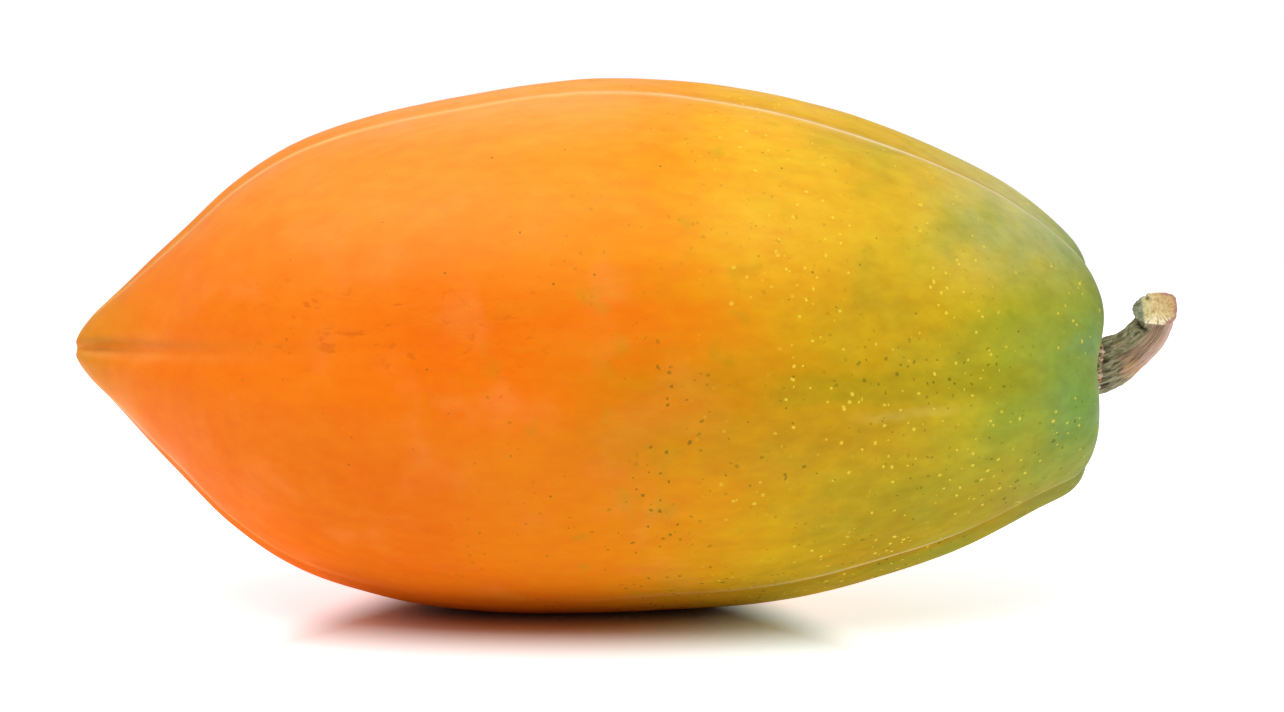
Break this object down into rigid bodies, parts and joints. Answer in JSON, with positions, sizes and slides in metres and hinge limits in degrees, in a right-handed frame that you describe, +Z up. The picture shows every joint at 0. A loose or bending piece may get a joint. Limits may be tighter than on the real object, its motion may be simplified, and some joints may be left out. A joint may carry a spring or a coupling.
{
  "type": "papaya",
  "caption": "Whole ripening papaya lying on its side, pointed at the blossom end, with soft lobes and furrows and a short, bent, cut stalk at the broad shoulders",
  "frame": {"origin": "on the surface that the fruit rests on, under the middle of its bounding box", "axes": "+X from the pointed blossom end to the stalk, +Z up"},
  "size_m": [0.2672, 0.1308, 0.13],
  "materials": {
    "skin": "satin",
    "bark": "rough",
    "dried_calyx": "rough"
  },
  "bodies": {
    "root": {"fruit": "skin", "stalk": "bark", "calyx": "dried_calyx"}
  },
  "joints": []
}
